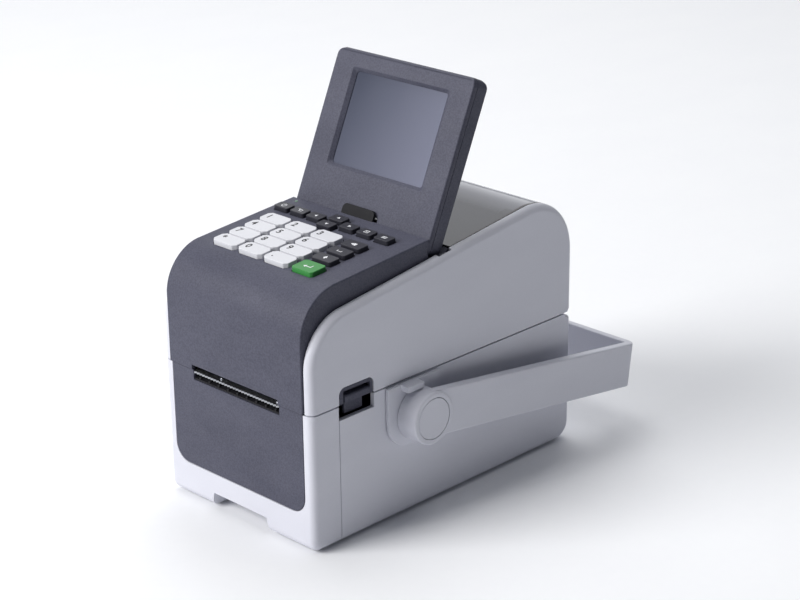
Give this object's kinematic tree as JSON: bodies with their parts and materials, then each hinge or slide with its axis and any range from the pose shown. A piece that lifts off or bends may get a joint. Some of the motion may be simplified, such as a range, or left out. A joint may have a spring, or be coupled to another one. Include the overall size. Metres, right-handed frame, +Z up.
{
  "type": "desktop label printer",
  "caption": "Desktop label printer with a keypad on its sloping lid, a tilting display, a smoked media window, side release levers and a swinging carry handle.",
  "frame": {"origin": "middle of the footprint of the whole printer with its handle down, on the surface it stands on", "axes": "+X to the right as seen by someone facing the keypad, +Y from the label exit to the back, +Z up"},
  "size_m": [0.1476, 0.2454, 0.2273],
  "materials": {
    "light_shell": "fine spark-eroded satin",
    "dark_shell": "fine spark-eroded satin",
    "black_trim": "satin",
    "smoked_window": "clear smoked, polished",
    "screen_glass": "glossy over a dark display",
    "rubber": "matte",
    "steel": "brushed",
    "alloy": "extruded, bead blasted",
    "circuit_board": "solder mask",
    "nylon": "moulded",
    "white_keys": "satin",
    "dark_keys": "satin",
    "green_key": "satin"
  },
  "bodies": {
    "base": {"lower_case": "light_shell", "front_frame": "light_shell", "front_panel": "dark_shell", "base_plate": "black_trim", "foot_front": "rubber", "foot_rear": "rubber", "exit_lip": "black_trim", "tear_bar": "steel", "media_bay": "black_trim", "main_board": "circuit_board", "platen_frame": "steel", "stepper_motor": "steel", "hinge_rod": "steel", "handle_bracket_left": "light_shell", "handle_bracket_right": "light_shell"},
    "platen": {"platen_roller": "rubber", "platen_shaft": "steel", "platen_gear": "nylon"},
    "motor_drive": {"motor_pinion": "nylon"},
    "guide_left": {"media_guide_left": "black_trim"},
    "guide_right": {"media_guide_right": "black_trim"},
    "cover": {"cover_shell": "light_shell", "keypad_deck": "dark_shell", "media_window": "smoked_window", "print_head": "alloy", "keypad_board": "circuit_board", "release_bezel_left": "black_trim", "release_bezel_right": "black_trim"},
    "lever_left": {"release_lever_left": "black_trim"},
    "lever_right": {"release_lever_right": "black_trim"},
    "display": {"display_bezel": "dark_shell", "display_back": "dark_shell", "lcd_panel": "screen_glass"},
    "carry_handle": {"handle": "light_shell", "hub_cap_left": "light_shell", "hub_cap_right": "light_shell"},
    "body_key_1": {"key_1": "white_keys"},
    "body_key_2": {"key_2": "white_keys"},
    "body_key_3": {"key_3": "white_keys"},
    "body_key_4": {"key_4": "white_keys"},
    "body_key_5": {"key_5": "white_keys"},
    "body_key_6": {"key_6": "white_keys"},
    "body_key_7": {"key_7": "white_keys"},
    "body_key_8": {"key_8": "white_keys"},
    "body_key_9": {"key_9": "white_keys"},
    "body_key_mark": {"key_mark": "white_keys"},
    "body_key_0": {"key_0": "white_keys"},
    "body_key_point": {"key_point": "white_keys"},
    "body_key_backspace": {"key_backspace": "dark_keys"},
    "body_key_space": {"key_space": "dark_keys"},
    "body_key_case": {"key_case": "dark_keys"},
    "body_key_power": {"key_power": "dark_keys"},
    "body_key_return": {"key_return": "dark_keys"},
    "body_key_left": {"key_left": "dark_keys"},
    "body_key_up": {"key_up": "dark_keys"},
    "body_key_down": {"key_down": "dark_keys"},
    "body_key_right": {"key_right": "dark_keys"},
    "body_key_file": {"key_file": "dark_keys"},
    "body_key_menu": {"key_menu": "dark_keys"},
    "body_key_enter": {"key_enter": "green_key"}
  },
  "joints": [
    {"name": "cover_hinge", "type": "hinge", "parent": "base", "child": "cover", "pos_m": [0, 0.07829, 0.0787], "axis": [-1, 0, 0], "range_deg": [0, 80]},
    {"name": "display_tilt", "type": "hinge", "parent": "cover", "child": "display", "pos_m": [0, -0.02471, 0.1422], "axis": [-1, 0, 0], "range_deg": [0, 33]},
    {"name": "handle_swing", "type": "hinge", "parent": "base", "child": "carry_handle", "pos_m": [0, -0.04871, 0.0592], "axis": [-1, 0, 0], "range_deg": [-66, 0]},
    {"name": "platen_spin", "type": "hinge", "parent": "base", "child": "platen", "pos_m": [0, -0.10621, 0.0707], "axis": [1, 0, 0], "continuous": true},
    {"name": "motor_spin", "type": "hinge", "parent": "base", "child": "motor_drive", "pos_m": [0, -0.09511, 0.05485], "axis": [1, 0, 0], "continuous": true},
    {"name": "guide_left_slide", "type": "slide", "parent": "base", "child": "guide_left", "axis": [1, 0, 0], "range_m": [0, 0.02]},
    {"name": "guide_right_slide", "type": "slide", "parent": "base", "child": "guide_right", "axis": [-1, 0, 0], "range_m": [0, 0.02]},
    {"name": "release_left", "type": "hinge", "parent": "cover", "child": "lever_left", "pos_m": [-0.0532, -0.08871, 0.0892], "axis": [0, 1, 0], "range_deg": [0, 7], "stiffness_Nm_per_rad": 0.2},
    {"name": "release_right", "type": "hinge", "parent": "cover", "child": "lever_right", "pos_m": [0.0532, -0.08871, 0.0892], "axis": [0, -1, 0], "range_deg": [0, 7], "stiffness_Nm_per_rad": 0.2},
    {"name": "press_key_1", "type": "slide", "parent": "cover", "child": "body_key_1", "axis": [0, 0.0847, -0.9964], "range_m": [0, 0.0012], "stiffness_N_per_m": 500},
    {"name": "press_key_2", "type": "slide", "parent": "cover", "child": "body_key_2", "axis": [0, 0.0847, -0.9964], "range_m": [0, 0.0012], "stiffness_N_per_m": 500},
    {"name": "press_key_3", "type": "slide", "parent": "cover", "child": "body_key_3", "axis": [0, 0.0847, -0.9964], "range_m": [0, 0.0012], "stiffness_N_per_m": 500},
    {"name": "press_key_4", "type": "slide", "parent": "cover", "child": "body_key_4", "axis": [0, 0.0847, -0.9964], "range_m": [0, 0.0012], "stiffness_N_per_m": 500},
    {"name": "press_key_5", "type": "slide", "parent": "cover", "child": "body_key_5", "axis": [0, 0.0847, -0.9964], "range_m": [0, 0.0012], "stiffness_N_per_m": 500},
    {"name": "press_key_6", "type": "slide", "parent": "cover", "child": "body_key_6", "axis": [0, 0.0847, -0.9964], "range_m": [0, 0.0012], "stiffness_N_per_m": 500},
    {"name": "press_key_7", "type": "slide", "parent": "cover", "child": "body_key_7", "axis": [0, 0.0847, -0.9964], "range_m": [0, 0.0012], "stiffness_N_per_m": 500},
    {"name": "press_key_8", "type": "slide", "parent": "cover", "child": "body_key_8", "axis": [0, 0.0847, -0.9964], "range_m": [0, 0.0012], "stiffness_N_per_m": 500},
    {"name": "press_key_9", "type": "slide", "parent": "cover", "child": "body_key_9", "axis": [0, 0.0847, -0.9964], "range_m": [0, 0.0012], "stiffness_N_per_m": 500},
    {"name": "press_key_mark", "type": "slide", "parent": "cover", "child": "body_key_mark", "axis": [0, 0.0847, -0.9964], "range_m": [0, 0.0012], "stiffness_N_per_m": 500},
    {"name": "press_key_0", "type": "slide", "parent": "cover", "child": "body_key_0", "axis": [0, 0.0847, -0.9964], "range_m": [0, 0.0012], "stiffness_N_per_m": 500},
    {"name": "press_key_point", "type": "slide", "parent": "cover", "child": "body_key_point", "axis": [0, 0.0847, -0.9964], "range_m": [0, 0.0012], "stiffness_N_per_m": 500},
    {"name": "press_key_backspace", "type": "slide", "parent": "cover", "child": "body_key_backspace", "axis": [0, 0.0847, -0.9964], "range_m": [0, 0.0012], "stiffness_N_per_m": 500},
    {"name": "press_key_space", "type": "slide", "parent": "cover", "child": "body_key_space", "axis": [0, 0.0847, -0.9964], "range_m": [0, 0.0012], "stiffness_N_per_m": 500},
    {"name": "press_key_case", "type": "slide", "parent": "cover", "child": "body_key_case", "axis": [0, 0.0847, -0.9964], "range_m": [0, 0.0012], "stiffness_N_per_m": 500},
    {"name": "press_key_power", "type": "slide", "parent": "cover", "child": "body_key_power", "axis": [0, 0.0847, -0.9964], "range_m": [0, 0.0012], "stiffness_N_per_m": 500},
    {"name": "press_key_return", "type": "slide", "parent": "cover", "child": "body_key_return", "axis": [0, 0.0847, -0.9964], "range_m": [0, 0.0012], "stiffness_N_per_m": 500},
    {"name": "press_key_left", "type": "slide", "parent": "cover", "child": "body_key_left", "axis": [0, 0.0847, -0.9964], "range_m": [0, 0.0012], "stiffness_N_per_m": 500},
    {"name": "press_key_up", "type": "slide", "parent": "cover", "child": "body_key_up", "axis": [0, 0.0847, -0.9964], "range_m": [0, 0.0012], "stiffness_N_per_m": 500},
    {"name": "press_key_down", "type": "slide", "parent": "cover", "child": "body_key_down", "axis": [0, 0.0847, -0.9964], "range_m": [0, 0.0012], "stiffness_N_per_m": 500},
    {"name": "press_key_right", "type": "slide", "parent": "cover", "child": "body_key_right", "axis": [0, 0.0847, -0.9964], "range_m": [0, 0.0012], "stiffness_N_per_m": 500},
    {"name": "press_key_file", "type": "slide", "parent": "cover", "child": "body_key_file", "axis": [0, 0.0847, -0.9964], "range_m": [0, 0.0012], "stiffness_N_per_m": 500},
    {"name": "press_key_menu", "type": "slide", "parent": "cover", "child": "body_key_menu", "axis": [0, 0.0847, -0.9964], "range_m": [0, 0.0012], "stiffness_N_per_m": 500},
    {"name": "press_key_enter", "type": "slide", "parent": "cover", "child": "body_key_enter", "axis": [0, 0.0847, -0.9964], "range_m": [0, 0.0012], "stiffness_N_per_m": 500}
  ],
  "couplings": [
    {"joint": "motor_spin", "follows": "platen_spin", "ratio": -1.4},
    {"joint": "guide_right_slide", "follows": "guide_left_slide", "ratio": 1}
  ]
}
